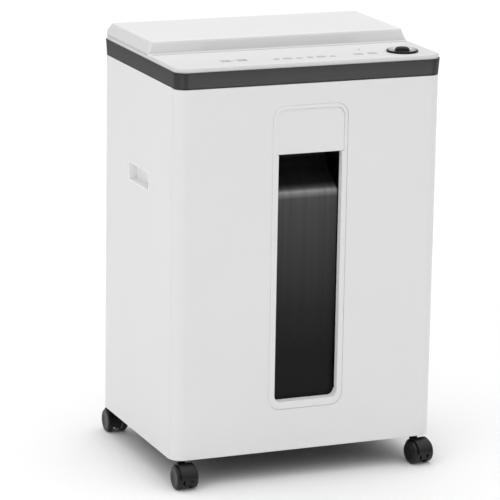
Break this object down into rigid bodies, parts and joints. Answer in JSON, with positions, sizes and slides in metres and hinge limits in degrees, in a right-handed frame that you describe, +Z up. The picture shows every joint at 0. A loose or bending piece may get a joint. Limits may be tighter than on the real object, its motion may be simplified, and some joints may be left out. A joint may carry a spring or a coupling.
{
  "type": "paper shredder",
  "caption": "Upright office paper shredder on twin-wheel castors: pull-out bin drawer with window, top feed slot, round button, geared cutter head.",
  "frame": {"origin": "on the floor, at the centre of the footprint", "axes": "+X to the right seen from the front, -Y out of the front, +Z up"},
  "size_m": [0.3926, 0.325, 0.6035],
  "materials": {
    "white_plastic": "fine textured",
    "dark_band": "satin",
    "black_plastic": "gloss",
    "silver_trim": "satin",
    "smoked_plastic": "smoked",
    "bin_plastic": "satin",
    "grey_plastic": "satin",
    "steel": "machined",
    "zinc_steel": "zinc plated",
    "laminations": "laminated",
    "copper": "enamelled wire",
    "bronze": "sintered",
    "circuit_board": "solder mask",
    "castor_plastic": "satin"
  },
  "bodies": {
    "cabinet": {"cabinet_shell": "white_plastic", "grip_cup_left": "white_plastic", "grip_cup_right": "white_plastic", "base_plate": "bin_plastic", "slide_rails": "grey_plastic", "trim_band": "dark_band", "top_cover": "white_plastic", "button_bezel": "black_plastic", "button_ring": "silver_trim", "button_board": "circuit_board", "reed_switch": "grey_plastic", "head_deck": "grey_plastic", "side_frame_left": "zinc_steel", "side_frame_right": "zinc_steel", "tie_rods": "steel", "gear_plate": "zinc_steel", "gear_spacers": "steel", "feed_throat": "black_plastic", "paper_sensor": "black_plastic", "stripper_comb_front": "grey_plastic", "stripper_comb_rear": "grey_plastic", "motor_stator": "laminations", "motor_windings": "copper", "motor_brackets": "zinc_steel", "shaft_bushes": "bronze", "capacitor": "grey_plastic", "control_board": "circuit_board", "board_parts": "black_plastic", "inlet_socket": "black_plastic", "inlet_pins": "zinc_steel", "rocker_housing": "black_plastic", "head_screws": "zinc_steel"},
    "drawer": {"drawer_front": "white_plastic", "window_frame": "white_plastic", "handle_plate": "white_plastic", "window_moulding": "smoked_plastic", "bin_bucket": "bin_plastic", "drawer_screws": "zinc_steel", "drawer_magnet": "laminations"},
    "button": {"power_button": "black_plastic"},
    "rocker": {"main_rocker": "black_plastic"},
    "rotor": {"motor_rotor": "laminations", "motor_shaft": "steel"},
    "compound": {"compound_gear": "steel"},
    "cutter_rear": {"cutter_shaft_rear": "steel", "cutter_discs_rear": "steel", "sync_gear_rear": "steel", "drive_gear": "steel"},
    "cutter_front": {"cutter_shaft_front": "steel", "cutter_discs_front": "steel", "sync_gear_front": "steel"},
    "castor_fl": {"castor_fl_hood": "castor_plastic"},
    "wheels_fl": {"castor_fl_wheels": "castor_plastic"},
    "castor_fr": {"castor_fr_hood": "castor_plastic"},
    "wheels_fr": {"castor_fr_wheels": "castor_plastic"},
    "castor_rl": {"castor_rl_hood": "castor_plastic"},
    "wheels_rl": {"castor_rl_wheels": "castor_plastic"},
    "castor_rr": {"castor_rr_hood": "castor_plastic"},
    "wheels_rr": {"castor_rr_wheels": "castor_plastic"}
  },
  "joints": [
    {"name": "bin_slide", "type": "slide", "parent": "cabinet", "child": "drawer", "axis": [0, -1, 0], "range_m": [0, 0.26]},
    {"name": "button_press", "type": "slide", "parent": "cabinet", "child": "button", "axis": [0, 0, -1], "range_m": [0, 0.0025], "stiffness_N_per_m": 400, "springref_m": -0.004},
    {"name": "rocker_tilt", "type": "hinge", "parent": "cabinet", "child": "rocker", "pos_m": [-0.064, 0.14615, 0.47], "axis": [-1, 0, 0], "range_deg": [0, 24]},
    {"name": "rotor_spin", "type": "hinge", "parent": "cabinet", "child": "rotor", "pos_m": [0, 0.0799, 0.5], "axis": [1, 0, 0], "continuous": true},
    {"name": "compound_spin", "type": "hinge", "parent": "cabinet", "child": "compound", "pos_m": [0, 0.0377, 0.5], "axis": [1, 0, 0], "continuous": true},
    {"name": "cutter_rear_spin", "type": "hinge", "parent": "cabinet", "child": "cutter_rear", "pos_m": [0, -0.015, 0.5], "axis": [1, 0, 0], "continuous": true},
    {"name": "cutter_front_spin", "type": "hinge", "parent": "cabinet", "child": "cutter_front", "pos_m": [0, -0.049, 0.5], "axis": [1, 0, 0], "continuous": true},
    {"name": "swivel_fl", "type": "hinge", "parent": "cabinet", "child": "castor_fl", "pos_m": [-0.1766, -0.128, 0.04], "axis": [0, 0, 1], "continuous": true},
    {"name": "roll_fl", "type": "hinge", "parent": "castor_fl", "child": "wheels_fl", "pos_m": [-0.1766, -0.142, 0.0165], "axis": [1, 0, 0], "continuous": true},
    {"name": "swivel_fr", "type": "hinge", "parent": "cabinet", "child": "castor_fr", "pos_m": [0.1766, -0.128, 0.04], "axis": [0, 0, 1], "continuous": true},
    {"name": "roll_fr", "type": "hinge", "parent": "castor_fr", "child": "wheels_fr", "pos_m": [0.17879, -0.14183, 0.0165], "axis": [0.9877, 0.1564, 0], "continuous": true},
    {"name": "swivel_rl", "type": "hinge", "parent": "cabinet", "child": "castor_rl", "pos_m": [-0.1766, 0.128, 0.04], "axis": [0, 0, 1], "continuous": true},
    {"name": "roll_rl", "type": "hinge", "parent": "castor_rl", "child": "wheels_rl", "pos_m": [-0.1766, 0.142, 0.0165], "axis": [-1, 0, 0], "continuous": true},
    {"name": "swivel_rr", "type": "hinge", "parent": "cabinet", "child": "castor_rr", "pos_m": [0.1766, 0.128, 0.04], "axis": [0, 0, 1], "continuous": true},
    {"name": "roll_rr", "type": "hinge", "parent": "castor_rr", "child": "wheels_rr", "pos_m": [0.17879, 0.14183, 0.0165], "axis": [-0.9877, 0.1564, 0], "continuous": true}
  ],
  "couplings": [
    {"joint": "compound_spin", "follows": "rotor_spin", "ratio": -0.2},
    {"joint": "cutter_rear_spin", "follows": "rotor_spin", "ratio": 0.05},
    {"joint": "cutter_front_spin", "follows": "rotor_spin", "ratio": -0.05}
  ]
}
